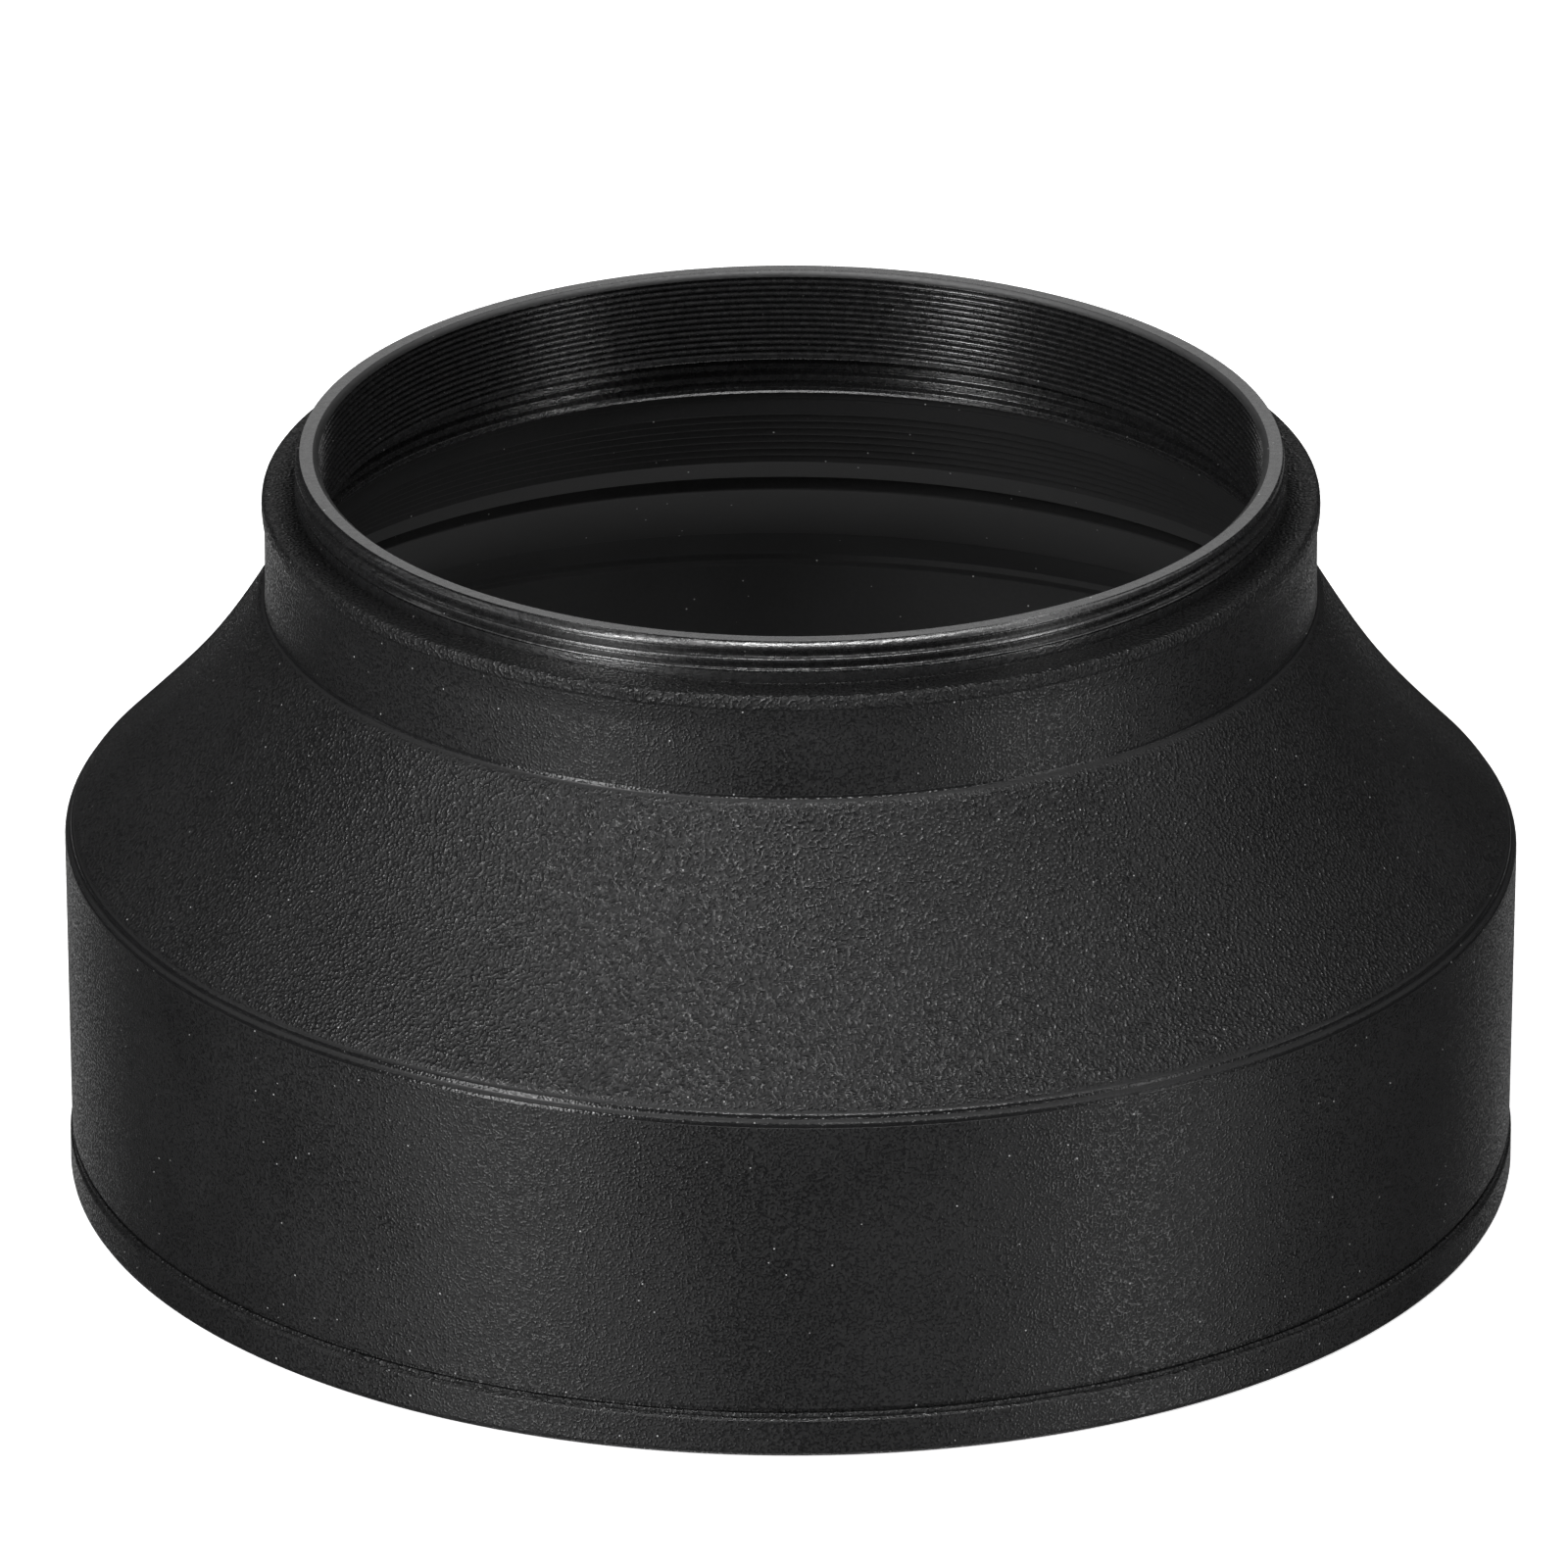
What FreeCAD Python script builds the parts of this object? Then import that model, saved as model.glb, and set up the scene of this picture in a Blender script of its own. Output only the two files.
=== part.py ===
import FreeCAD, Part
import math
import os

# Collapsible rubber lens hood. It stands on its front rim, with the mount ring on top.
# Origin: the centre of the front rim's plane. +Z runs along the axis, from the rim to the lens.
# Millimetres. Heights are measured up from the rim unless the name says below_top.

V = FreeCAD.Vector

# Overall
overall_h = 45.0

# Filter thread, M58 x 0.75
thread_r = 29.0
thread_pitch = 0.75
thread_depth = 0.42
thread_groove_w = 0.42
thread_end = 1.75
thread_start = 1.595
thread_start_turn = -150
relief_r = 28.5

# Mount ring. Levels are below the ring's top.
face_outer_r = 28.73
face_inner_r = 27.95
top_chamfer_h = 0.27
flange_r = 30.0
flange_top = 1.83
flange_bottom = 2.5
flange_chamfer = 0.08
tail_r = 28.95
bore_bottom = 5.6
ridge_tip_r = 27.6
ridge_root_r = 27.82
ridge_pitch = 0.39
ridge_first = 0.3
ridge_land = 0.2
ridge_count = 13

# Retaining ring, screwed on the mount ring's tail
nut_outer_r = 29.75
nut_inner_r = 29.05
nut_groove_r = 29.32
nut_groove_w = 0.5
nut_top = 4.15
nut_bottom = 8.45
nut_chamfer = 0.25
nut_groove_first = 4.75
nut_groove_count = 5

# Rubber neck
neck_r = 30.8
lip_r = 30.97
lip_flat_r = 30.3
lip_widest = 3.1
lip_end = 4.2
neck_inner_r = 29.8
neck_end = 10.1

# Outside of the rubber cone: a cubic with a handle at both ends, then a narrow bevel up to the shoulder
cone_top = 8.85
cone_top_r = 30.98
cone_end = 23.57
cone_end_r = 42.35
cone_handle = 7.9
slope_at_neck = 59.8
slope_at_shoulder = 45.5
bevel_top = 23.62
bevel_top_r = 42.46
shoulder = 24.1
shoulder_r = 42.72

# Inside of the rubber cone, from the neck down: a step, ribs, and a groove at each of the two folds
step_top = 9.06
step_r = 29.88
ribs_end = 14.6
ribs_end_r = 33.3
rib_count = 7
rib_depth = 0.2
rib_land = 0.35
inner_groove_top = 16.0
inner_groove_top_r = 34.3
inner_groove_end = 17.1
inner_groove_end_r = 35.2
outer_groove_top = 21.7
outer_groove_top_r = 39.15
outer_groove_end = 24.3
outer_groove_end_r = 41.2
fold_groove_depth = 0.3
fold_groove_side = 0.25
cone_inside_end = 24.8

# Folds. The neck folds at neck_end, the middle band stays whole, the shoulder folds last.
band_top = 16.0
band_bottom = 16.8
shoulder_fold = 21.9

# Skirt and its front rim
skirt_low_r = 42.54
skirt_inner_r = 41.6
rim_r = 42.65
rim_inner_r = 41.25
rim_edge_r = 0.5
rim_inner_h = 2.2
rim_inner_taper = 0.6
rim_chamfer = 0.08
groove_top = 41.93
groove_depth = 0.22
groove_w = 0.32
groove_draft = 0.06
parting_ridge_w = 0.2
second_groove_w = 0.16
second_groove_depth = 0.12


def level(below_top):
    """Height above the rim of a level that is given below the ring's top."""
    return overall_h - below_top


def at(radius, below_top):
    """A point of a section, in the XZ plane."""
    return V(radius, 0, level(below_top))


def line(a, b):
    return Part.LineSegment(a, b).toShape()


def arc(a, middle, b):
    return Part.Arc(a, middle, b).toShape()


def cubic(a, b, c, d):
    curve = Part.BezierCurve()
    curve.setPoles([a, b, c, d])
    return curve.toShape()


def revolve(edges):
    """Turn a closed section round the axis."""
    face = Part.Face(Part.Wire(Part.__sortEdges__(edges)))
    return face.revolve(V(0, 0, 0), V(0, 0, 1), 360)


def revolve_points(points):
    closed = points + [points[0]]
    return revolve([line(a, b) for a, b in zip(closed, closed[1:])])


def ridges(first, pitch, count, tip_r, root_r):
    """Section points of a ridged bore: flat lands with a V groove before each."""
    points = []
    for i in range(count):
        start = first + pitch * i
        points.append(at(tip_r, start))
        points.append(at(root_r, start + (pitch - ridge_land) / 2))
        points.append(at(tip_r, start + pitch - ridge_land))
    return points


def thread_cutter():
    """A right-hand V groove round the thread's crest cylinder, open at the ring's top."""
    length = thread_start + thread_pitch
    helix = Part.makeHelix(thread_pitch, length, thread_r)
    outside = 0.2
    half = thread_groove_w / 2
    wide = half * (1 + outside / thread_depth)
    corners = [V(thread_r + outside, 0, -wide), V(thread_r + outside, 0, wide)]
    corners.append(V(thread_r - thread_depth, 0, 0))
    profile = Part.makePolygon(corners + [corners[0]])
    cutter = Part.Wire(helix).makePipeShell([profile], True, True)
    cutter.rotate(V(0, 0, 0), V(0, 0, 1), thread_start_turn)
    cutter.translate(V(0, 0, level(thread_start)))
    return cutter


def mount_ring():
    points = [at(face_outer_r, 0), at(thread_r, top_chamfer_h), at(thread_r, thread_end)]
    points += [at(relief_r, thread_end), at(relief_r, flange_top)]
    points += [at(flange_r - flange_chamfer, flange_top), at(flange_r, flange_top + flange_chamfer)]
    points += [at(flange_r, flange_bottom - flange_chamfer), at(flange_r - flange_chamfer, flange_bottom)]
    points += [at(tail_r, flange_bottom), at(tail_r, bore_bottom), at(ridge_tip_r, bore_bottom)]
    points += reversed(ridges(ridge_first, ridge_pitch, ridge_count, ridge_tip_r, ridge_root_r))
    points += [at(face_inner_r, 0)]
    return revolve_points(points).cut(thread_cutter())


def retaining_ring():
    points = [at(nut_outer_r, nut_top), at(nut_outer_r, nut_bottom)]
    points += [at(nut_inner_r + nut_chamfer, nut_bottom), at(nut_inner_r, nut_bottom - nut_chamfer)]
    for i in reversed(range(nut_groove_count)):
        middle = nut_groove_first + thread_pitch * i
        points.append(at(nut_inner_r, middle + nut_groove_w / 2))
        points.append(at(nut_groove_r, middle))
        points.append(at(nut_inner_r, middle - nut_groove_w / 2))
    points.append(at(nut_inner_r, nut_top))
    return revolve_points(points)


def cone_curve():
    """Outer curve of the cone, from the neck to the bevel at the shoulder."""
    neck_turn = math.radians(slope_at_neck)
    shoulder_turn = math.radians(slope_at_shoulder)
    neck_handle = V(math.cos(neck_turn), 0, -math.sin(neck_turn)) * cone_handle
    shoulder_handle = V(-math.cos(shoulder_turn), 0, math.sin(shoulder_turn)) * cone_handle
    a = at(cone_top_r, cone_top)
    d = at(cone_end_r, cone_end)
    return cubic(a, a + neck_handle, d + shoulder_handle, d)


def into_wall(a, b, depth):
    """A step of that depth from the line a-b into the wall, which is on the line's outer side."""
    along = (b - a).normalize()
    return V(-along.z, 0, along.x) * depth


def groove(a, b):
    """Section points of a flat-bottomed fold groove that opens on the line a-b."""
    deep = into_wall(a, b, fold_groove_depth)
    side = (b - a).normalize() * fold_groove_side
    return [a, a + side + deep, b - side + deep, b]


def ribs(a, b):
    """Section points of the ribs along the line a-b, which touches their lands."""
    deep = into_wall(a, b, rib_depth)
    pitch = (b - a) / rib_count
    points = []
    for i in range(rib_count):
        start = a + pitch * i
        points += [start, start + pitch * rib_land, start + pitch * (1 + rib_land) / 2 + deep]
    return points + [b]


def cone_inside():
    """Section points of the cone's inner side, from the step in the neck's bore to the skirt's wall."""
    points = [at(neck_inner_r, step_top), at(step_r, step_top)]
    points += ribs(at(step_r, neck_end), at(ribs_end_r, ribs_end))
    points += groove(at(inner_groove_top_r, inner_groove_top), at(inner_groove_end_r, inner_groove_end))
    points += groove(at(outer_groove_top_r, outer_groove_top), at(outer_groove_end_r, outer_groove_end))
    return points + [at(skirt_inner_r, cone_inside_end)]


def rubber_edges():
    """Closed section of the whole rubber moulding, from the neck's lip to the front rim."""
    lip_drop = lip_widest - flange_bottom
    corner = math.sqrt(0.5)
    lip_middle = at(lip_r - (lip_r - lip_flat_r) * (1 - corner), lip_widest - lip_drop * corner)
    groove_end = groove_top + groove_w
    second_top = groove_end + parting_ridge_w
    second_end = second_top + second_groove_w
    floor_r = skirt_low_r - groove_depth
    edge_middle = at(rim_r - rim_edge_r * (1 - corner), overall_h - rim_edge_r * (1 - corner))
    down = [at(cone_end_r, cone_end), at(bevel_top_r, bevel_top), at(shoulder_r, shoulder)]
    down += [at(skirt_low_r, groove_top), at(floor_r, groove_top + groove_draft)]
    down += [at(floor_r, groove_end - groove_draft), at(skirt_low_r, groove_end), at(skirt_low_r, second_top)]
    down += [at(skirt_low_r - second_groove_depth, (second_top + second_end) / 2), at(skirt_low_r, second_end)]
    down += [at(rim_r, second_end + rim_chamfer), at(rim_r, overall_h - rim_edge_r)]
    inside = [at(rim_r - rim_edge_r, overall_h), at(rim_inner_r, overall_h)]
    inside += [at(rim_inner_r, overall_h - rim_inner_h)]
    inside += [at(skirt_inner_r, overall_h - rim_inner_h - rim_inner_taper)]
    inside += reversed(cone_inside())
    inside += [at(neck_inner_r, nut_top), at(tail_r, nut_top)]
    inside += [at(tail_r, flange_bottom), at(lip_flat_r, flange_bottom)]
    up = [at(lip_r, lip_widest), at(neck_r, lip_end), at(neck_r, cone_top), at(cone_top_r, cone_top)]
    edges = [line(a, b) for points in (down, inside, up) for a, b in zip(points, points[1:])]
    edges += [cone_curve(), arc(down[-1], edge_middle, inside[0]), arc(inside[-1], lip_middle, up[0])]
    return edges


def zone(moulding, top, bottom):
    """The part of the moulding between two levels below the ring's top."""
    side = 2.5 * shoulder_r
    slab = Part.makeBox(side, side, bottom - top, V(-side / 2, -side / 2, level(bottom)))
    return moulding.common(slab)


def export(name, shape):
    solid = shape.Solids[0] if len(shape.Solids) == 1 else shape
    solid.exportStep("parts/" + name + ".step")
    box = solid.BoundBox
    print(name, "solids", len(shape.Solids), "valid", solid.isValid(), "volume", round(solid.Volume, 1),
          "r", round(box.XMax, 3), "z", round(box.ZMin, 3), round(box.ZMax, 3))


def main():
    os.makedirs("parts", exist_ok=True)
    export("mount_ring", mount_ring())
    export("retaining_ring", retaining_ring())
    moulding = revolve(rubber_edges())
    export("neck_collar", zone(moulding, 0, neck_end))
    export("inner_web", zone(moulding, neck_end, band_top))
    export("fold_band", zone(moulding, band_top, band_bottom))
    export("outer_web", zone(moulding, band_bottom, shoulder_fold))
    export("skirt", zone(moulding, shoulder_fold, overall_h))


main()
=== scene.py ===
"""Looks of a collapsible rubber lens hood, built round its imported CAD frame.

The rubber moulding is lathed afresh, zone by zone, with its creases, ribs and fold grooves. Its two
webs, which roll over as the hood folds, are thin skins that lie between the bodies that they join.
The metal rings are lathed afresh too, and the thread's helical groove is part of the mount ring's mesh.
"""

import math

import bpy
import numpy as np
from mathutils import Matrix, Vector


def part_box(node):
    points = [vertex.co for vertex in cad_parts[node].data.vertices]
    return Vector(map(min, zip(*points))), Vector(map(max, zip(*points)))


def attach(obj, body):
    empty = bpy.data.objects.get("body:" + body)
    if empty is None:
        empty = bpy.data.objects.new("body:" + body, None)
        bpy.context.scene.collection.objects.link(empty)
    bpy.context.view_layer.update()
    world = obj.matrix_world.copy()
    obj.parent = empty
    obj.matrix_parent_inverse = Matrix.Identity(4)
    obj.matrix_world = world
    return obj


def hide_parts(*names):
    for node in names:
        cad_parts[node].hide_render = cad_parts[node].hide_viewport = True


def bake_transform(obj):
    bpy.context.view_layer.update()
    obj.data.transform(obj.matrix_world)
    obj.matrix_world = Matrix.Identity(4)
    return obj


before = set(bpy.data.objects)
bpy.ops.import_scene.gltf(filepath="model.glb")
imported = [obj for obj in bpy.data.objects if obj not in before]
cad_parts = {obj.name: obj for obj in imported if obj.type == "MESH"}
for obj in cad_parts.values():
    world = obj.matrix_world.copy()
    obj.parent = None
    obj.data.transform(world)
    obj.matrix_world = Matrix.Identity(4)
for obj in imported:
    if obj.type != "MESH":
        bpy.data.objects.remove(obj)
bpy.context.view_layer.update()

# Lengths are millimetres until a mesh is made. Levels are below the mount ring's top.
MM = 0.001
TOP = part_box("mount_ring")[1].z / MM
SEGMENTS = 256
# Two points of a section that are nearer than this are taken as one
SAME_POINT = 1e-4
# Fillets: the most that one takes of the flat on either side of its corner, and the steps in its arc
FILLET_SHARE = 0.45
FILLET_STEPS = 4
SMALL_FILLET = 0.04
SMALL_FILLET_STEPS = 2
# One more point just beyond the arc keeps a flat's shading flat, if the flat is long enough for it
SUPPORT = 0.03
SUPPORT_ROOM = 2.5


def level_of(z):
    """Level below the ring's top of a height in metres."""
    return TOP - z / MM


def in_metres(lengths):
    """Lengths in millimetres as the metres that a material's nodes work in."""
    return [length * MM for length in lengths]


# Levels at which the moulding is divided, from the frame
NECK_END = level_of(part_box("neck_collar")[0].z)
BAND_TOP = level_of(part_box("fold_band")[1].z)
BAND_END = level_of(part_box("fold_band")[0].z)
SHOULDER_FOLD = level_of(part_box("skirt")[1].z)
FLANGE_END = level_of(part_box("neck_collar")[1].z)
NUT_TOP = level_of(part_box("retaining_ring")[1].z)

# Mount ring, with its M58 x 0.75 thread
FACE_R = 28.73
FACE_BORE_R = 27.95
FACE_STEP = 0.07
FACE_DRAFT = 0.01
THREAD_R = 29.0
THREAD_TOP = 0.32
THREAD_END = 1.75
THREAD_PITCH = 0.75
THREAD_DEPTH = 0.46
THREAD_GROOVE_W = 0.66
THREAD_START = 1.595
THREAD_START_TURN = math.radians(-150)
THREAD_TURNS = 3
THREAD_ROWS = 84
# Share of a turn over which the groove deepens from nothing, and share of its flank that rounds its edge
THREAD_RUN_IN = 0.06
CREST_ROUND = 0.3
RELIEF_R = 28.5
FLANGE_R = 30.0
FLANGE_TOP = 1.83
RIDGE_TIP_R = 27.6
RIDGE_ROOT_R = 27.9
RIDGE_PITCH = 0.39
RIDGE_LAND = 0.11
RIDGE_CROWN = 0.014
RIDGE_FIRST = 0.3
RIDGE_COUNT = 13
# Places of the points across a ridge's crowned land, from its lower edge to its upper one
RIDGE_PLACES = (1, 0.5, 0, -0.5, -1)
MOUNT_END = level_of(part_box("mount_ring")[0].z)
# Corner radii of the mount ring
FACE_BORE_ROUND = 0.04
FINE_ROUND = 0.02
FLANGE_ROUND = 0.07
TAIL_ROUND = 0.05
BORE_END_ROUND = 0.06

# Retaining ring
NUT_R = 29.75
NUT_BORE_R = 29.05
NUT_GROOVE_R = 29.42
NUT_GROOVE_W = 0.44
NUT_CHAMFER = 0.25
NUT_FIRST_GROOVE = 4.75
NUT_GROOVES = 5
NUT_END = level_of(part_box("retaining_ring")[0].z)
# Corner radii of the retaining ring
NUT_ROUND = 0.05
NUT_EDGE_ROUND = 0.03
NUT_CHAMFER_ROUND = 0.012

# Neck
NECK_R = 30.8
LIP_R = 30.97
LIP_WIDEST = 3.1
LIP_END = 4.9
LIP_SETBACK = 0.05
LIP_ROUND = 0.4
LIP_POINTS = 13
TAIL_R = 28.95
NECK_BORE_R = 29.8

# Outside of the cone
CONE_TOP = 8.85
CONE_TOP_R = 30.98
CONE_END = 23.57
CONE_END_R = 42.35
CONE_HANDLE = 7.9
SLOPE_AT_NECK = math.radians(59.8)
SLOPE_AT_SHOULDER = math.radians(45.5)
CONE_POINTS = 44
SHOULDER = 24.1
SHOULDER_R = 42.72
SHOULDER_ROUND = 0.35
# A narrow steep facet at the crease under the neck and at the top of the shoulder's bevel
CREASE_FACET = 0.13
CREASE_LEAN = math.radians(15)
CREASE_ROUND = 0.03

# Inside of the cone
STEP_TOP = 9.06
STEP_R = 29.88
STEP_ROUND = 0.03
RIBS_END = 14.6
RIBS_END_R = 33.3
RIB_COUNT = 7
RIB_DRAFT = 0.05
RIB_ROUND = 0.06
FIRST_RIB_ROUND = 0.04
NOTCH_TOP = (34.3, 16.0)
NOTCH_END = (35.2, 17.22)
NOTCH_DRAFT = 0.08
NOTCH_ROUND = 0.1
NOTCH_END_ROUND = 0.15
OUTER_GROOVE = ((39.15, 21.7), (41.2, 24.3))
FOLD_GROOVE_DEPTH = 0.3
FOLD_GROOVE_SIDE = 0.25
FOLD_GROOVE_ROUND = 0.1
CONE_INSIDE_END = 24.8
CONE_INSIDE_ROUND = 0.3

# Skirt and rim
SKIRT_LOW_R = 42.54
SKIRT_BORE_R = 41.6
RIM_R = 42.65
RIM_BORE_R = 41.25
RIM_BORE_H = 2.2
RIM_BORE_TAPER = 0.6
RIM_BORE_ROUND = 0.4
RIM_FOOT_ROUND = 0.25
RIM_EDGE = 0.5
RIM_CHAMFER = 0.08
RIM_CHAMFER_ROUND = 0.1
GROOVE_TOP = 41.93
GROOVE_DEPTH = 0.22
GROOVE_W = 0.32
GROOVE_DRAFT = 0.06
GROOVE_ROUND = 0.05
PARTING_RIDGE_W = 0.2
PARTING_TOP_ROUND = 0.12
PARTING_END_ROUND = 0.04
SECOND_GROOVE_W = 0.16
SECOND_GROOVE_DEPTH = 0.12
SECOND_GROOVE_ROUND = 0.03
SECOND_GROOVE_END_ROUND = 0.02

# How the soft moulding sits: the shoulder leans a little, fading out towards the neck and the rim
SHOULDER_LEAN = 0.4
LEAN_TOP = 10.0
LEAN_END = 41.0
# Unevenness of the flash line left by the mould's parting, between the rim's two grooves
FLASH_WAVE = 0.025
# Its waves: how many there are round the rim, their share of the height, and their phase
FLASH_WAVES = ((23, 0.4, 1.0), (61, 0.35, 2.1), (97, 0.25, 4.0))
# How far the flash line reaches along the skirt and into the grooves' sides
FLASH_MARGIN = 0.05
FLASH_REACH = 0.1

# Thickness of a web's skin
SKIN = 0.06


# ---------------------------------------------------------------- sections

def fillet(before, corner, after, radius):
    """Points of a rounded corner, with one more on each side that keeps the flats flat."""
    p = np.array(corner[:2])
    back = np.array(before[:2]) - p
    on = np.array(after[:2]) - p
    back_length = np.linalg.norm(back)
    on_length = np.linalg.norm(on)
    back = back / back_length
    on = on / on_length
    half = math.acos(np.clip(back @ on, -1, 1)) / 2
    reach = min(radius / math.tan(half), FILLET_SHARE * back_length, FILLET_SHARE * on_length)
    radius = reach * math.tan(half)
    middle = p + (back + on) / np.linalg.norm(back + on) * radius / math.sin(half)
    start = p + back * reach - middle
    end = p + on * reach - middle
    sweep = math.acos(np.clip(start @ end / radius ** 2, -1, 1))
    steps = FILLET_STEPS if radius > SMALL_FILLET else SMALL_FILLET_STEPS
    arc = []
    for i in range(steps + 1):
        t = i / steps
        weights = (math.sin((1 - t) * sweep), math.sin(t * sweep))
        arc.append(middle + (weights[0] * start + weights[1] * end) / math.sin(sweep))
    support = reach + SUPPORT
    points = []
    if back_length > SUPPORT_ROOM * support:
        points.append(p + back * support)
    points += arc
    if on_length > SUPPORT_ROOM * support:
        points.append(p + on * support)
    return points


def rounded(points):
    """A path of (radius, level) from points of (radius, level) or (radius, level, corner radius)."""
    path = [np.array(points[0][:2])]
    for before, corner, after in zip(points, points[1:], points[2:]):
        if len(corner) > 2:
            path += fillet(before, corner, after, corner[2])
        else:
            path.append(np.array(corner[:2]))
    path.append(np.array(points[-1][:2]))
    return path


def cone_outside():
    """The cone's outer curve, from the neck to the bevel at the shoulder."""
    a = np.array((CONE_TOP_R, CONE_TOP))
    d = np.array((CONE_END_R, CONE_END))
    b = a + CONE_HANDLE * np.array((math.cos(SLOPE_AT_NECK), math.sin(SLOPE_AT_NECK)))
    c = d - CONE_HANDLE * np.array((math.cos(SLOPE_AT_SHOULDER), math.sin(SLOPE_AT_SHOULDER)))
    t = np.linspace(0, 1, CONE_POINTS)[:, None]
    return list((1 - t) ** 3 * a + 3 * (1 - t) ** 2 * t * b + 3 * (1 - t) * t ** 2 * c + t ** 3 * d)


def outside():
    """The moulding's outer side, from the lip under the flange to the rim's foot."""
    cone = cone_outside()
    groove_end = GROOVE_TOP + GROOVE_W
    second_top = groove_end + PARTING_RIDGE_W
    second_end = second_top + SECOND_GROOVE_W
    floor_r = SKIRT_LOW_R - GROOVE_DEPTH
    points = [(TAIL_R, FLANGE_END), (LIP_R - LIP_SETBACK, FLANGE_END, LIP_ROUND)]
    for t in np.linspace(0, 1, LIP_POINTS):
        bulge = (LIP_R - NECK_R) * (1 + math.cos(math.pi * t)) / 2
        points.append((NECK_R + bulge, LIP_WIDEST + (LIP_END - LIP_WIDEST) * t))
    lean = CREASE_FACET * math.tan(CREASE_LEAN)
    points.append((NECK_R, CONE_TOP - 2 * CREASE_FACET))
    points.append((NECK_R, CONE_TOP - CREASE_FACET, CREASE_ROUND))
    points.append((NECK_R + lean, CONE_TOP, CREASE_ROUND))
    points += [tuple(p) for p in cone[1:-1]]
    points.append((CONE_END_R, CONE_END, CREASE_ROUND))
    points.append((CONE_END_R + lean, CONE_END + CREASE_FACET, CREASE_ROUND))
    points += [(SHOULDER_R, SHOULDER, SHOULDER_ROUND), (SHOULDER_R, SHOULDER + SHOULDER_ROUND)]
    points.append((SKIRT_LOW_R, GROOVE_TOP, GROOVE_ROUND))
    points.append((floor_r, GROOVE_TOP + GROOVE_DRAFT, GROOVE_ROUND))
    points.append((floor_r, groove_end - GROOVE_DRAFT, GROOVE_ROUND))
    points.append((SKIRT_LOW_R, groove_end, PARTING_TOP_ROUND))
    points.append((SKIRT_LOW_R, second_top, PARTING_END_ROUND))
    second_floor_r = SKIRT_LOW_R - SECOND_GROOVE_DEPTH
    points.append((second_floor_r, (second_top + second_end) / 2, SECOND_GROOVE_ROUND))
    points.append((SKIRT_LOW_R, second_end, SECOND_GROOVE_END_ROUND))
    points.append((RIM_R, second_end + RIM_CHAMFER, RIM_CHAMFER_ROUND))
    points += [(RIM_R, TOP, RIM_EDGE), (RIM_R - 2 * RIM_EDGE, TOP)]
    return rounded(points)


def into_wall(a, b, depth):
    """A step of that depth from the line a-b into the wall."""
    along = (b - a) / np.linalg.norm(b - a)
    return np.array((along[1], -along[0])) * depth


def fold_groove(ends):
    """Corners of a flat-bottomed groove that opens between two points."""
    a, b = (np.array(p) for p in ends)
    deep = into_wall(a, b, FOLD_GROOVE_DEPTH)
    side = (b - a) / np.linalg.norm(b - a) * FOLD_GROOVE_SIDE
    return [(*p, FOLD_GROOVE_ROUND) for p in (a, a + side + deep, b - side + deep, b)]


def ribs():
    """Corners of the moulded ribs inside the cone's top: steps with a slightly drafted riser."""
    a = np.array((STEP_R, NECK_END))
    b = np.array((RIBS_END_R, RIBS_END))
    pitch = (b - a) / RIB_COUNT
    corners = [(*a, FIRST_RIB_ROUND)]
    for i in range(1, RIB_COUNT + 1):
        radius, level = a + pitch * i
        corners.append((radius - RIB_DRAFT, level - pitch[1] + RIB_DRAFT, RIB_ROUND))
        corners.append((radius, level, RIB_ROUND))
    return corners


def inside():
    """The moulding's inner side, from the mount ring's tail down to the rim's foot."""
    points = [(TAIL_R, FLANGE_END), (TAIL_R, NUT_TOP), (NECK_BORE_R, NUT_TOP)]
    points += [(NECK_BORE_R, STEP_TOP, STEP_ROUND), (STEP_R, STEP_TOP, STEP_ROUND)]
    points += ribs()
    points.append((*NOTCH_TOP, NOTCH_ROUND))
    points.append((NOTCH_END[0], NOTCH_TOP[1] + NOTCH_DRAFT, NOTCH_ROUND))
    points.append((*NOTCH_END, NOTCH_END_ROUND))
    points += fold_groove(OUTER_GROOVE)
    points.append((SKIRT_BORE_R, CONE_INSIDE_END, CONE_INSIDE_ROUND))
    points.append((SKIRT_BORE_R, TOP - RIM_BORE_H - RIM_BORE_TAPER, RIM_BORE_ROUND))
    points.append((RIM_BORE_R, TOP - RIM_BORE_H, RIM_BORE_ROUND))
    points += [(RIM_BORE_R, TOP, RIM_FOOT_ROUND), (RIM_R - 2 * RIM_EDGE, TOP)]
    return rounded(points)


def where(path, wanted):
    """A path's point at a level, and the number of its first point beyond that level."""
    for i in range(1, len(path)):
        if path[i][1] >= wanted > path[i - 1][1]:
            t = (wanted - path[i - 1][1]) / (path[i][1] - path[i - 1][1])
            return path[i - 1] + t * (path[i] - path[i - 1]), i
    raise ValueError(f"no point at level {wanted}")


def between(path, start, end):
    """The stretch of a path between two levels; None stands for the path's own end."""
    first, last = 0, len(path)
    head, tail = [], []
    if start is not None:
        point, first = where(path, start)
        head = [point]
    if end is not None:
        point, last = where(path, end)
        tail = [point]
    ends = head + tail
    middle = [p for p in path[first:last] if all(np.linalg.norm(p - q) > SAME_POINT for q in ends)]
    return head + middle + tail


def level_under(outer_path, inner_path, level):
    """Level of the inner side straight under the outer side's point at a level."""
    radius = where(outer_path, level)[0][0]
    for a, b in zip(inner_path, inner_path[1:]):
        if a[1] > NECK_END and a[0] < radius <= b[0]:
            return a[1] + (radius - a[0]) / (b[0] - a[0]) * (b[1] - a[1])
    raise ValueError(f"nothing under level {level}")


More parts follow.
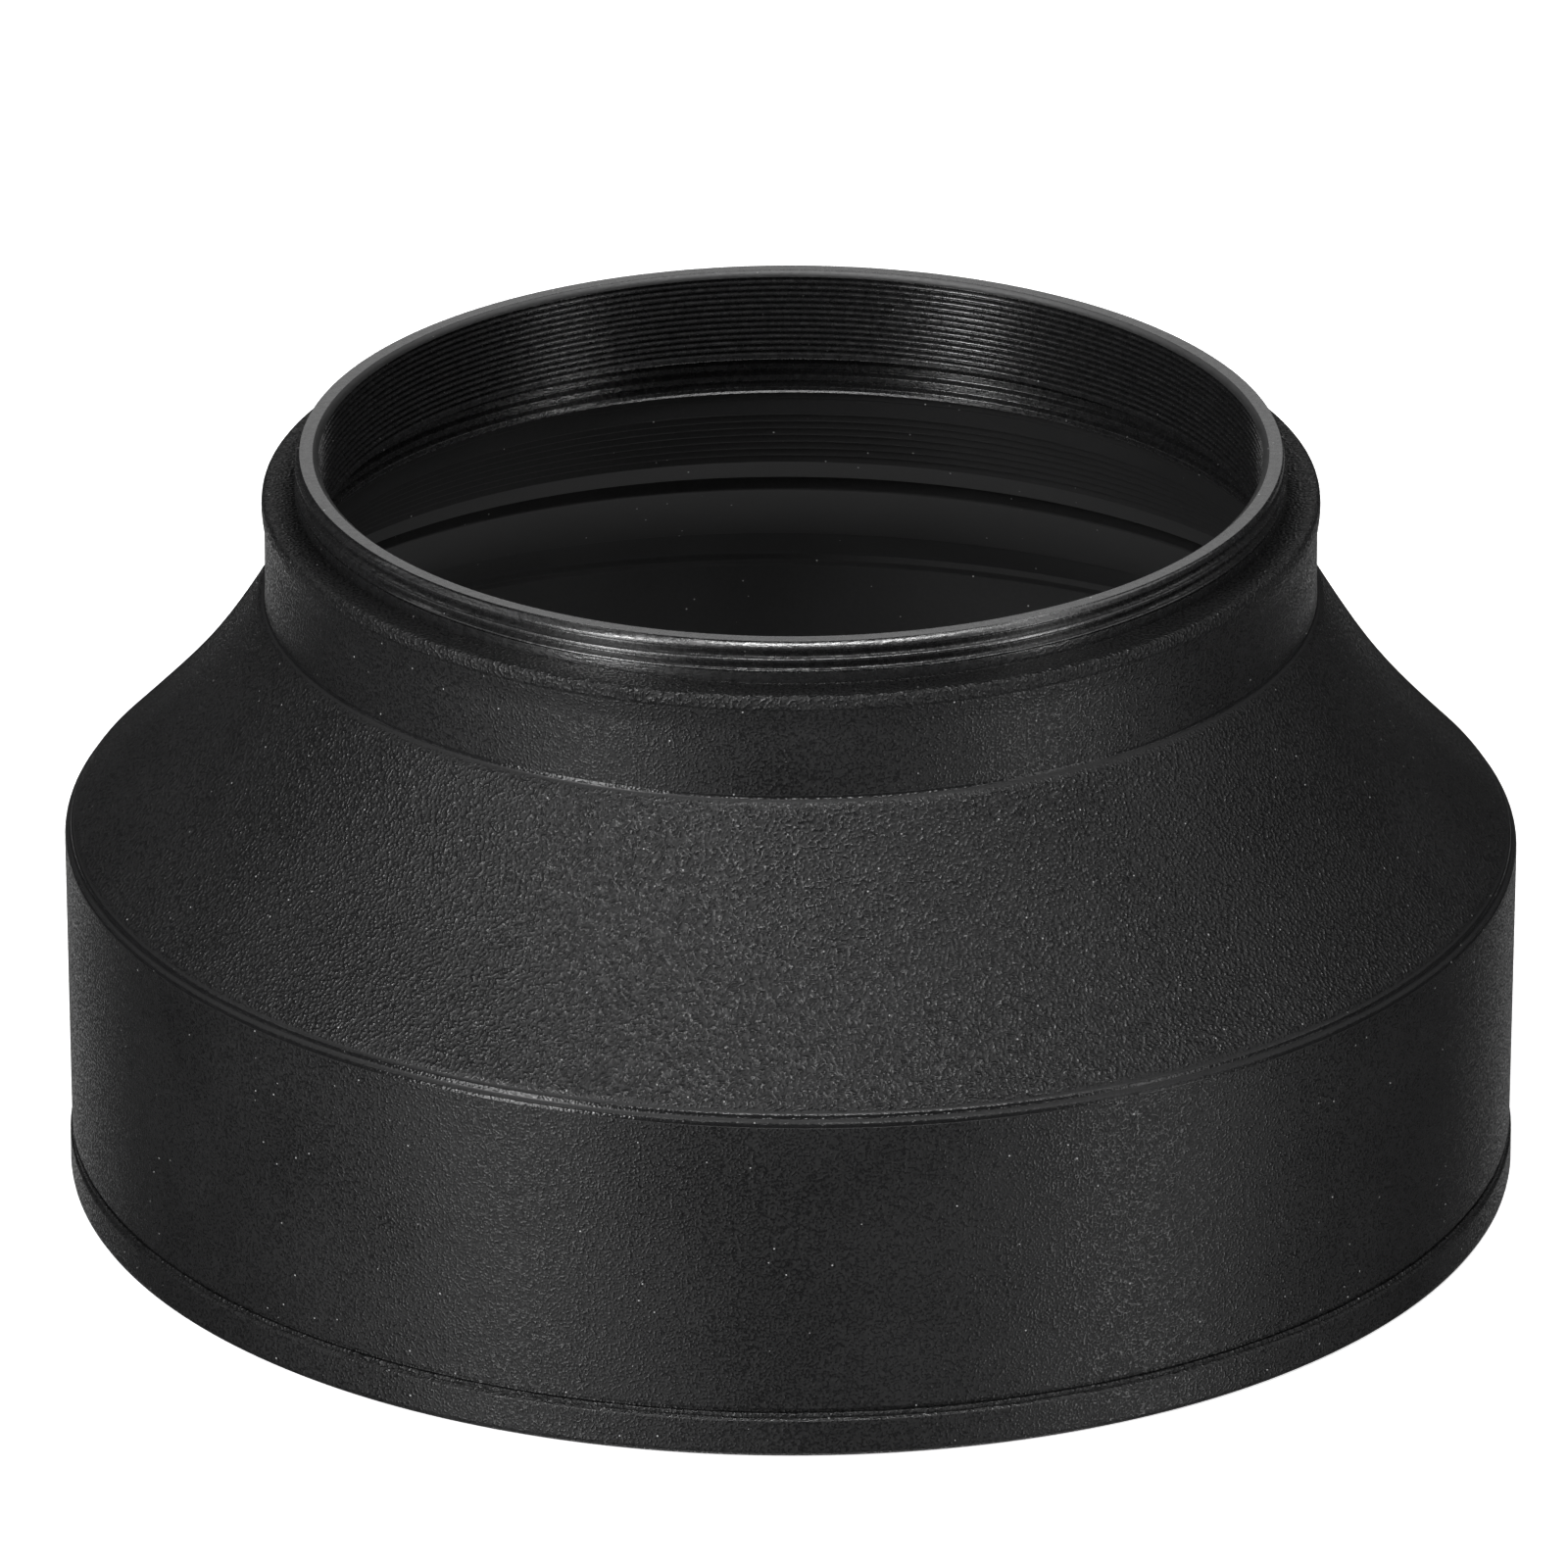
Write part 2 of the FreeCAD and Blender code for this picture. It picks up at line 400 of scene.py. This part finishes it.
def mount_ring_path():
    """The mount ring's closed section, from the top face's inner edge round the outside."""
    first = (RIDGE_TIP_R, RIDGE_FIRST)
    face = [(FACE_BORE_R, 0, FACE_BORE_ROUND), (FACE_R, 0, FINE_ROUND)]
    face.append((FACE_R + FACE_DRAFT, FACE_STEP, FINE_ROUND))
    upper = rounded([first] + face + [(THREAD_R, THREAD_TOP)])
    rows = np.linspace(THREAD_TOP, THREAD_END, THREAD_ROWS)
    upper += [np.array((THREAD_R, level)) for level in rows[1:]]
    lower = [(THREAD_R, THREAD_END), (RELIEF_R, THREAD_END, FINE_ROUND), (RELIEF_R, FLANGE_TOP, FINE_ROUND)]
    lower += [(FLANGE_R, FLANGE_TOP, FLANGE_ROUND), (FLANGE_R, FLANGE_END, FLANGE_ROUND)]
    lower += [(TAIL_R, FLANGE_END), (TAIL_R, MOUNT_END, TAIL_ROUND)]
    lower.append((RIDGE_TIP_R, MOUNT_END, BORE_END_ROUND))
    for i in reversed(range(RIDGE_COUNT)):
        start = RIDGE_FIRST + RIDGE_PITCH * i
        middle = start + RIDGE_PITCH - RIDGE_LAND / 2
        for t in RIDGE_PLACES:
            lower.append((RIDGE_TIP_R + RIDGE_CROWN * t * t, middle + t * RIDGE_LAND / 2))
        lower.append((RIDGE_ROOT_R, start + (RIDGE_PITCH - RIDGE_LAND) / 2, FINE_ROUND))
    lower.append(first)
    return upper + rounded(lower)[1:-1]


def retaining_ring_path():
    """The retaining ring's closed section, from the middle of its top round the outside."""
    points = [(NUT_R, NUT_TOP, NUT_ROUND), (NUT_R, NUT_END, NUT_ROUND)]
    points.append((NUT_BORE_R + NUT_CHAMFER, NUT_END, NUT_EDGE_ROUND))
    points.append((NUT_BORE_R, NUT_END - NUT_CHAMFER, NUT_CHAMFER_ROUND))
    for i in reversed(range(NUT_GROOVES)):
        middle = NUT_FIRST_GROOVE + THREAD_PITCH * i
        points.append((NUT_BORE_R, middle + NUT_GROOVE_W / 2, NUT_EDGE_ROUND))
        points.append((NUT_GROOVE_R, middle, NUT_ROUND))
        points.append((NUT_BORE_R, middle - NUT_GROOVE_W / 2, NUT_EDGE_ROUND))
    points.append((NUT_BORE_R, NUT_TOP, NUT_ROUND))
    middle_of_top = ((NUT_R + NUT_BORE_R) / 2, NUT_TOP)
    return rounded([middle_of_top] + points + [middle_of_top])[:-1]


# ---------------------------------------------------------------- meshes

# Values of the attribute "grain" on the rubber: the zones that differ in their grain and gloss
COARSE = 1.0
FINE = 0.0
INNER = -0.5
POLISHED = -1.0
# How far under its widest level the lip has the coarse grain, and how far a crease's polish spreads
LIP_COARSE = 0.3
POLISH_SPREAD = 0.03


def on_flash_line(radius, level):
    """Whether a section's point lies on the flash line, outside the two grooves' floors."""
    top = GROOVE_TOP + GROOVE_W - FLASH_MARGIN
    end = GROOVE_TOP + GROOVE_W + PARTING_RIDGE_W + FLASH_MARGIN
    return radius > SKIRT_LOW_R - FLASH_REACH and top < level < end


def on_crease(level):
    """Whether a level of the outside is on one of the crease facets or on the shoulder's edge."""
    at_neck = CONE_TOP - CREASE_FACET - POLISH_SPREAD < level < CONE_TOP + POLISH_SPREAD
    at_bevel = CONE_END - POLISH_SPREAD < level < CONE_END + CREASE_FACET + POLISH_SPREAD
    return at_neck or at_bevel or abs(level - SHOULDER) < SHOULDER_ROUND / 3


def grain_at(radius, level):
    """The attribute "grain" at a point of the outside."""
    if on_crease(level):
        return POLISHED
    on_cone = CONE_TOP <= level <= CONE_END
    on_lip = level < LIP_WIDEST + LIP_COARSE
    return COARSE if on_cone or on_lip or on_flash_line(radius, level) else FINE


def smooth(t):
    """A ramp from 0 to 1 that starts and ends level."""
    t = np.clip(t, 0, 1)
    return t * t * (3 - 2 * t)


def exact(radius, level, angle):
    """Radius and level of a section's point, the same at every angle."""
    return np.full_like(angle, radius), np.full_like(angle, level)


def settled(radius, level, angle):
    """Radius and level of a section's point at an angle, as the soft moulding really sits."""
    if level < SHOULDER:
        fade = smooth((level - LEAN_TOP) / (SHOULDER - LEAN_TOP))
    else:
        fade = smooth((LEAN_END - level) / (LEAN_END - SHOULDER))
    lean = SHOULDER_LEAN * fade * np.cos(angle)
    wobble = np.zeros_like(angle)
    if on_flash_line(radius, level):
        for count, share, phase in FLASH_WAVES:
            wobble += FLASH_WAVE * share * np.sin(count * angle + phase)
    return radius + wobble, level + lean + wobble


def threaded(radius, level, angle):
    """Radius and level on the mount ring, where the thread's helical groove is cut into the outside."""
    turns = np.mod(angle - THREAD_START_TURN, 2 * math.pi) / (2 * math.pi)
    cut = np.zeros_like(angle)
    if radius > FACE_R and level < THREAD_END:
        for turn in range(THREAD_TURNS):
            middle = THREAD_START - THREAD_PITCH * (turns + turn)
            across = np.clip(1 - np.abs(level - middle) / (THREAD_GROOVE_W / 2), 0, 1)
            depth = THREAD_DEPTH * across * smooth(across / CREST_ROUND)
            if turn == 0:
                depth = depth * smooth(turns / THREAD_RUN_IN)
            cut = np.maximum(cut, depth)
    return np.minimum(radius, THREAD_R - cut), np.full_like(angle, level)


def lathe(name, path, sharp, shape):
    """A closed mesh turned from a closed section. sharp holds the numbers of rings with a sharp edge."""
    angle = np.arange(SEGMENTS) * 2 * math.pi / SEGMENTS
    rings = []
    for radius, level in path:
        r, b = shape(radius, level, angle)
        rings.append(np.stack((r * np.cos(angle), r * np.sin(angle), TOP - b), axis=1))
    points = np.concatenate(rings) * MM
    faces = []
    for i in range(len(path)):
        here, there = i * SEGMENTS, (i + 1) % len(path) * SEGMENTS
        for j in range(SEGMENTS):
            k = (j + 1) % SEGMENTS
            faces.append((here + j, there + j, there + k, here + k))
    mesh = bpy.data.meshes.new(name)
    mesh.from_pydata(points.tolist(), [], faces)
    mesh.update()
    mesh.polygons.foreach_set("use_smooth", [True] * len(faces))
    for edge in mesh.edges:
        a, b = (v // SEGMENTS for v in edge.vertices)
        if a == b and a in sharp:
            edge.use_edge_sharp = True
    piece = bpy.data.objects.new(name, mesh)
    bpy.context.scene.collection.objects.link(piece)
    return piece


def rubber_lathe(name, path, sharp, outer_count, material):
    """A rubber piece whose first outer_count points are on the outside, with its attribute "grain"."""
    piece = lathe(name, path, sharp, settled)
    grain = [grain_at(radius, level) for radius, level in path[:outer_count]]
    grain += [INNER] * (len(path) - outer_count)
    attribute = piece.data.attributes.new("grain", "FLOAT", "POINT")
    attribute.data.foreach_set("value", np.repeat(grain, SEGMENTS).astype(np.float32))
    piece.data.materials.append(material)
    return piece


def section(outer_part, inner_part, ends):
    """A closed section from an outer and an inner stretch, and its sharp rings."""
    path = outer_part + inner_part[::-1]
    n = len(outer_part)
    sharp = set()
    if "top" in ends:
        sharp |= {0, len(path) - 1}
    if "bottom" in ends:
        sharp |= {n - 1, n}
    return path, sharp


def skin(stretch, depth):
    """A thin closed section behind a stretch; a positive depth lies below it."""
    back = [p + np.array((0, depth)) for p in stretch]
    n = len(stretch)
    return stretch + back[::-1], {0, n - 1, n, 2 * n - 1}


# ---------------------------------------------------------------- materials

# Grain of the rubber: its height in metres, and its share of that on the cone and on the creases
GRAIN_HEIGHT = 0.0003
COARSE_GRAIN = 0.55
CREASE_GRAIN = 0.1
# Scales of the rubber's noises, per metre
FINE_SCALE = 7000.0
PEBBLE_SCALE = 5200.0
CLOUD_SCALE = 130.0
# Roughness on the creases and the grain's tops, in the grain's pits, and inside, and what clouds add
POLISHED_ROUGHNESS = 0.18
PIT_ROUGHNESS = 0.58
INNER_ROUGHNESS = 0.68
CLOUD_ROUGHNESS = (0.02, 0.08)
RUBBER_SPECULAR = 0.35
# The rubber's two colours, and how far the clouds, rather than the pebbles, choose between them
CLOUD_SHARE = 0.5
RUBBER_DARK = (0.0015, 0.0015, 0.0016)
RUBBER_LIGHT = (0.012, 0.012, 0.0124)

# Bump of the metal in metres, and the share of the tool's lines in it
METAL_BUMP = 0.00002
LINE_SHARE = 0.25
# Scales of the metal's noises, per metre, and how much finer its dashes are along the axis
LINE_SCALE = 20000.0
DASH_SCALE = 2400.0
DASH_FINER = 4.0
MARK_SCALE = 2600.0
NICK_SCALE = 3200.0
# Nicks on the mount ring's upper edge: the radii over which they fade in, the levels over which they fade
# out, and the noise values at a nick's rim
NICKS_RADII = (FACE_R - 0.06, FACE_R - 0.02)
NICKS_LEVELS = (0.1, 0.15)
NICK_NOISE = (0.6, 0.66)
# The matt chamfer of the bore: the levels and the radii over which it fades out
CHAMFER_LEVELS = (RIDGE_FIRST, RIDGE_FIRST + 0.03)
CHAMFER_RADII = (FACE_BORE_R - 0.02, FACE_BORE_R)
# Roughness of the metal, and what the nicks and the bore's chamfer add
METAL_ROUGHNESS = (0.23, 0.31)
MATT_ROUGHNESS = 0.35
METAL_IOR = 2.0
METAL_DARK = (0.004, 0.004, 0.0042)
METAL_LIGHT = (0.012, 0.012, 0.0125)

# Range of a noise's values that is spread over a whole ramp, for fine noises and for broad ones
FINE_RANGE = (0.4, 0.6)
BROAD_RANGE = (0.3, 0.7)
# Specks of dust: cells per metre, inner and outer radius in cells, and the share of cells with one
RUBBER_DUST = (1000.0, 0.035, 0.06, 0.55)
METAL_DUST = (1300.0, 0.04, 0.07, 0.4)
DUST = (0.3, 0.3, 0.3)


class Nodes:
    """A small helper that adds and links the nodes of one material."""

    def __init__(self, name):
        self.material = bpy.data.materials.new(name)
        self.material.use_nodes = True
        self.tree = self.material.node_tree
        self.shader = self.tree.nodes["Principled BSDF"]

    def add(self, kind, links=(), **settings):
        node = self.tree.nodes.new(kind)
        for key, value in settings.items():
            setattr(node, key, value)
        for socket, value in dict(links).items():
            self.put(node.inputs[socket], value)
        return node

    def put(self, socket, value):
        """Link another node's socket to this one, or set this one's own value."""
        if isinstance(value, bpy.types.NodeSocket):
            self.tree.links.new(value, socket)
        else:
            socket.default_value = value

    def math(self, operation, a, b=0.0, c=0.0):
        return self.add("ShaderNodeMath", {0: a, 1: b, 2: c}, operation=operation).outputs[0]

    def ramp(self, value, low, high, out_low=0.0, out_high=1.0):
        """Values from low to high spread over another range, and held at its ends beyond them."""
        links = {"Value": value, "From Min": low, "From Max": high, "To Min": out_low, "To Max": out_high}
        return self.add("ShaderNodeMapRange", links, clamp=True).outputs[0]

    def noise(self, vector, scale, detail=2.0, roughness=0.5):
        links = {"Vector": vector, "Scale": scale, "Detail": detail, "Roughness": roughness}
        return self.add("ShaderNodeTexNoise", links).outputs["Fac"]

    def specks(self, vector, scale, inner, outer, share):
        """1 on small round specks: at most that share of the cells of a given scale has one."""
        cells = self.add("ShaderNodeTexVoronoi", {"Vector": vector, "Scale": scale})
        chosen = self.math("LESS_THAN", cells.outputs["Color"], share)
        return self.math("MULTIPLY", self.ramp(cells.outputs["Distance"], inner, outer, 1.0, 0.0), chosen)

    def bump(self, height, distance):
        return self.add("ShaderNodeBump", {"Height": height, "Distance": distance}).outputs["Normal"]

    def mix(self, factor, a, b):
        return self.add("ShaderNodeMix", {"Factor": factor, "A": a, "B": b}).outputs["Result"]

    def colour(self, factor, a, b):
        """A mix of two colours, whose sockets share their names with others and are taken by number."""
        node = self.add("ShaderNodeMix", data_type="RGBA")
        self.tree.links.new(factor, node.inputs[0])
        for socket, value in ((node.inputs[6], a), (node.inputs[7], b)):
            self.put(socket, value if isinstance(value, bpy.types.NodeSocket) else (*value, 1))
        return node.outputs[2]


def rubber_material():
    """Satin black rubber: fine grain, coarser on the cone, polished creases, clouds and specks of dust."""
    n = Nodes("black_rubber_grained")
    place = n.add("ShaderNodeTexCoord").outputs["Object"]
    zone = n.add("ShaderNodeAttribute", attribute_name="grain").outputs["Fac"]
    fine = n.noise(place, FINE_SCALE, detail=0.5)
    pebbles = n.noise(place, PEBBLE_SCALE, detail=0.5)
    clouds = n.noise(place, CLOUD_SCALE, detail=3.0)
    crease_share = n.ramp(zone, POLISHED, INNER, CREASE_GRAIN, 0.0)
    outer_share = n.ramp(zone, INNER, COARSE, 0.0, COARSE_GRAIN)
    share = n.math("MAXIMUM", crease_share, outer_share)
    grain = n.mix(zone, fine, pebbles)
    n.put(n.shader.inputs["Normal"], n.bump(n.math("MULTIPLY", grain, share), GRAIN_HEIGHT))
    dust = n.specks(place, *RUBBER_DUST)
    broad = n.math("MULTIPLY", clouds, CLOUD_SHARE)
    local = n.math("MULTIPLY", pebbles, 1 - CLOUD_SHARE)
    rubber = n.colour(n.math("ADD", broad, local), RUBBER_DARK, RUBBER_LIGHT)
    n.put(n.shader.inputs["Base Color"], n.colour(dust, rubber, DUST))
    plain = n.ramp(zone, POLISHED, INNER, POLISHED_ROUGHNESS, INNER_ROUGHNESS)
    pit = PIT_ROUGHNESS - INNER_ROUGHNESS
    top = POLISHED_ROUGHNESS - INNER_ROUGHNESS
    by_grain = n.ramp(grain, *FINE_RANGE, pit, top)
    by_clouds = n.ramp(clouds, *BROAD_RANGE, *CLOUD_ROUGHNESS)
    grained = n.math("MULTIPLY", n.math("ADD", by_grain, by_clouds), n.ramp(zone, INNER, FINE))
    n.put(n.shader.inputs["Roughness"], n.math("ADD", plain, grained))
    n.put(n.shader.inputs["Specular IOR Level"], RUBBER_SPECULAR)
    return n.material


def metal_material():
    """Black anodised aluminium: the tool's fine rings, short glints along them and nicks at the top edge."""
    n = Nodes("black_anodised")
    place = n.add("ShaderNodeTexCoord").outputs["Object"]
    axes = n.add("ShaderNodeSeparateXYZ", {"Vector": place})
    x, y, z = (axes.outputs[k] for k in "XYZ")
    flat = n.add("ShaderNodeCombineXYZ", {"X": x, "Y": y}).outputs[0]
    radius = n.add("ShaderNodeVectorMath", {0: flat}, operation="LENGTH").outputs["Value"]
    turned = n.add("ShaderNodeCombineXYZ", {"X": radius, "Z": z}).outputs[0]
    finer_z = n.math("MULTIPLY", z, DASH_FINER)
    drawn_out = n.add("ShaderNodeCombineXYZ", {"X": x, "Y": y, "Z": finer_z}).outputs[0]
    lines = n.noise(turned, LINE_SCALE)
    dashes = n.noise(drawn_out, DASH_SCALE)
    marks = n.noise(place, MARK_SCALE, detail=3.0)
    height = n.math("ADD", n.math("MULTIPLY", lines, LINE_SHARE), dashes)
    n.put(n.shader.inputs["Normal"], n.bump(height, METAL_BUMP))
    below_top = n.math("SUBTRACT", TOP * MM, z)
    at_edge = n.ramp(below_top, *in_metres(NICKS_LEVELS), 1.0, 0.0)
    outside_face = n.ramp(radius, *in_metres(NICKS_RADII))
    nicked = n.ramp(n.noise(place, NICK_SCALE, detail=1.0), *NICK_NOISE)
    nicks = n.math("MULTIPLY", n.math("MULTIPLY", at_edge, outside_face), nicked)
    dust = n.specks(place, *METAL_DUST)
    metal = n.colour(marks, METAL_DARK, METAL_LIGHT)
    n.put(n.shader.inputs["Base Color"], n.colour(dust, metal, DUST))
    n.put(n.shader.inputs["IOR"], METAL_IOR)
    at_chamfer = n.ramp(below_top, *in_metres(CHAMFER_LEVELS), 1.0, 0.0)
    in_bore = n.ramp(radius, *in_metres(CHAMFER_RADII), 1.0, 0.0)
    matt = n.math("MAXIMUM", nicks, n.math("MULTIPLY", at_chamfer, in_bore))
    worn = n.ramp(marks, *BROAD_RANGE, *METAL_ROUGHNESS)
    n.put(n.shader.inputs["Roughness"], n.math("ADD", worn, n.math("MULTIPLY", matt, MATT_ROUGHNESS)))
    return n.material


# ---------------------------------------------------------------- pieces

# The moulding's rigid zones: piece, body, node, and its top and end level (None: the moulding's own end)
ZONES = (
    ("neck_rubber", "neck", "neck_collar", None, NECK_END),
    ("fold_band_rubber", "band", "fold_band", BAND_TOP, BAND_END),
    ("skirt_rubber", "skirt", "skirt", SHOULDER_FOLD, None),
)
# The webs between them: node, lower body, upper body, and its end and top level
WEBS = (
    ("inner_web", "band", "neck", BAND_TOP, NECK_END),
    ("outer_web", "skirt", "band", SHOULDER_FOLD, BAND_END),
)


def make_zones(material, outer_path, inner_path, under):
    """The rigid zones. under gives the inner side's level at each level where the moulding is divided."""
    for name, body, node, top, end in ZONES:
        outer_part = between(outer_path, top, end)
        inner_part = between(inner_path, under.get(top), under.get(end))
        if top is None:
            inner_part = inner_part[1:]
        if end is None:
            inner_part = inner_part[:-1]
        cuts = [side for side, level in (("top", top), ("bottom", end)) if level is not None]
        path, sharp = section(outer_part, inner_part, cuts)
        piece = rubber_lathe(name, path, sharp, len(outer_part), material)
        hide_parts(node)
        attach(piece, body)


def make_webs(material, outer_path, inner_path, under):
    """Each web's face and lining, as thin skins that are not attached to any body."""
    for node, lower_body, upper_body, end, top in WEBS:
        for side, path, level, depth in (
            ("face", outer_path, {end: end, top: top}, SKIN),
            ("lining", inner_path, under, -SKIN),
        ):
            web_path, sharp = skin(between(path, level[top], level[end]), depth)
            outer_count = len(web_path)
            if side == "lining":
                web_path = web_path[::-1]
                outer_count = 0
            piece = rubber_lathe(f"{node}_{side}", web_path, sharp, outer_count, material)
            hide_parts(node)
            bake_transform(piece)


def make_rubber(material):
    """The whole moulding: its rigid zones and the webs between them."""
    outer_path = outside()
    inner_path = inside()
    levels = (NECK_END, BAND_TOP, BAND_END, SHOULDER_FOLD)
    under = {level: level_under(outer_path, inner_path, level) for level in levels}
    make_zones(material, outer_path, inner_path, under)
    make_webs(material, outer_path, inner_path, under)


def make_metal(material):
    """Both metal rings, with sharp edges along the lands of the mount ring's ridges."""
    land_edge = RIDGE_TIP_R + RIDGE_CROWN
    rings = (
        ("mount_ring_turned", "mount_ring", mount_ring_path(), threaded),
        ("retaining_ring_turned", "retaining_ring", retaining_ring_path(), exact),
    )
    for name, node, path, shape in rings:
        sharp = {i for i, point in enumerate(path) if math.isclose(point[0], land_edge)}
        piece = lathe(name, path, sharp, shape)
        piece.data.materials.append(material)
        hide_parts(node)
        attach(piece, "neck")


# ---------------------------------------------------------------- studio

# Metres. The camera looks at AIM, and so does every light.
AIM = (-0.000404, 0, 0.02369)
CAMERA_DISTANCE = 1.2107
CAMERA_ELEVATION = math.radians(23.42)
CAMERA_LENS = 472.5
FLOOR_R = 3.0
FLOOR_COLOUR = (0.88, 0.88, 0.88, 1)
ROOM_GLOW = 0.02
FLOOR_GLOW = 0.75

# Softboxes: name, azimuth, elevation, distance, width, height, radiance. Those below the floor stand for
# the light that a white table throws up.
LIGHTS = (
    ("left_low", -43, -25, 1.4, 0.25, 0.6, 6.0),
    ("left", -43, 5, 1.4, 0.28, 0.8, 13.0),
    ("left_high", -45, 36, 1.4, 0.25, 0.4, 28.0),
    ("right_low", 57, -25, 1.4, 0.2, 0.6, 8.5),
    ("right", 57, 5, 1.4, 0.22, 0.8, 4.5),
    ("right_high", 62, 38, 1.4, 0.3, 0.6, 1.8),
    ("overhead_left", -15, 66, 1.5, 0.3, 0.2, 19.0),
    ("overhead", 10, 66, 1.5, 0.7, 0.15, 24.0),
    ("overhead_right", 48, 62, 1.5, 0.7, 0.25, 8.0),
    ("under", 180, -78, 1.5, 0.8, 0.35, 4.0),
    ("behind", 180, 24, 2.0, 1.2, 0.8, 0.85),
    ("behind_left", -158, -25, 1.6, 0.6, 0.5, 0.5),
    ("behind_right", 158, -25, 1.6, 0.6, 0.5, 0.35),
    ("side_left", -105, 45, 1.6, 0.7, 0.7, 1.1),
    ("side_right", 100, 42, 1.6, 0.9, 0.6, 1.1),
)


def make_camera():
    """A long lens in front of the hood, looking down on it."""
    data = bpy.data.cameras.new("camera")
    data.lens = CAMERA_LENS
    data.sensor_width = 36
    data.clip_start = 0.05
    data.clip_end = 20
    camera = bpy.data.objects.new("camera", data)
    away = CAMERA_DISTANCE * np.array((0, -math.cos(CAMERA_ELEVATION), math.sin(CAMERA_ELEVATION)))
    camera.location = np.array(AIM) + away
    camera.rotation_euler = (math.pi / 2 - CAMERA_ELEVATION, 0, 0)
    bpy.context.scene.collection.objects.link(camera)
    bpy.context.scene.camera = camera


def softbox(name, azimuth, elevation, distance, width, height, radiance):
    """An area light that faces the hood. Azimuth 0 is the camera's side and 90 is +X."""
    a, e = math.radians(azimuth), math.radians(elevation)
    data = bpy.data.lights.new(name, "AREA")
    data.shape = "RECTANGLE"
    data.size = width
    data.size_y = height
    data.energy = radiance * math.pi * width * height
    light = bpy.data.objects.new(name, data)
    away = np.array((math.sin(a) * math.cos(e), -math.cos(a) * math.cos(e), math.sin(e)))
    light.location = np.array(AIM) + distance * away
    light.rotation_euler = (math.pi / 2 - e, 0, a)
    bpy.context.scene.collection.objects.link(light)


def make_floor():
    """A pale floor that gives off some light of its own, casts no shadow and shows in no reflection."""
    n = Nodes("floor")
    n.put(n.shader.inputs["Base Color"], FLOOR_COLOUR)
    n.put(n.shader.inputs["Emission Color"], (1, 1, 1, 1))
    n.put(n.shader.inputs["Emission Strength"], FLOOR_GLOW)
    n.put(n.shader.inputs["Roughness"], 0.9)
    n.put(n.shader.inputs["Specular IOR Level"], 0.0)
    mesh = bpy.data.meshes.new("floor")
    corners = [(x * FLOOR_R, y * FLOOR_R, 0) for x, y in ((-1, -1), (1, -1), (1, 1), (-1, 1))]
    mesh.from_pydata(corners, [], [(0, 1, 2, 3)])
    mesh.materials.append(n.material)
    floor = bpy.data.objects.new("floor", mesh)
    bpy.context.scene.collection.objects.link(floor)
    floor.visible_glossy = False
    floor.visible_shadow = False


def make_world():
    """A faint even glow all round."""
    world = bpy.data.worlds.new("studio")
    world.use_nodes = True
    background = world.node_tree.nodes["Background"]
    background.inputs["Color"].default_value = (1, 1, 1, 1)
    background.inputs["Strength"].default_value = ROOM_GLOW
    bpy.context.scene.world = world


def make_studio():
    """The floor, the glow, the softboxes and a plain view transform."""
    make_floor()
    make_world()
    for light in LIGHTS:
        softbox(*light)
    bpy.context.scene.view_settings.view_transform = "Standard"


make_rubber(rubber_material())
make_metal(metal_material())
make_camera()
make_studio()
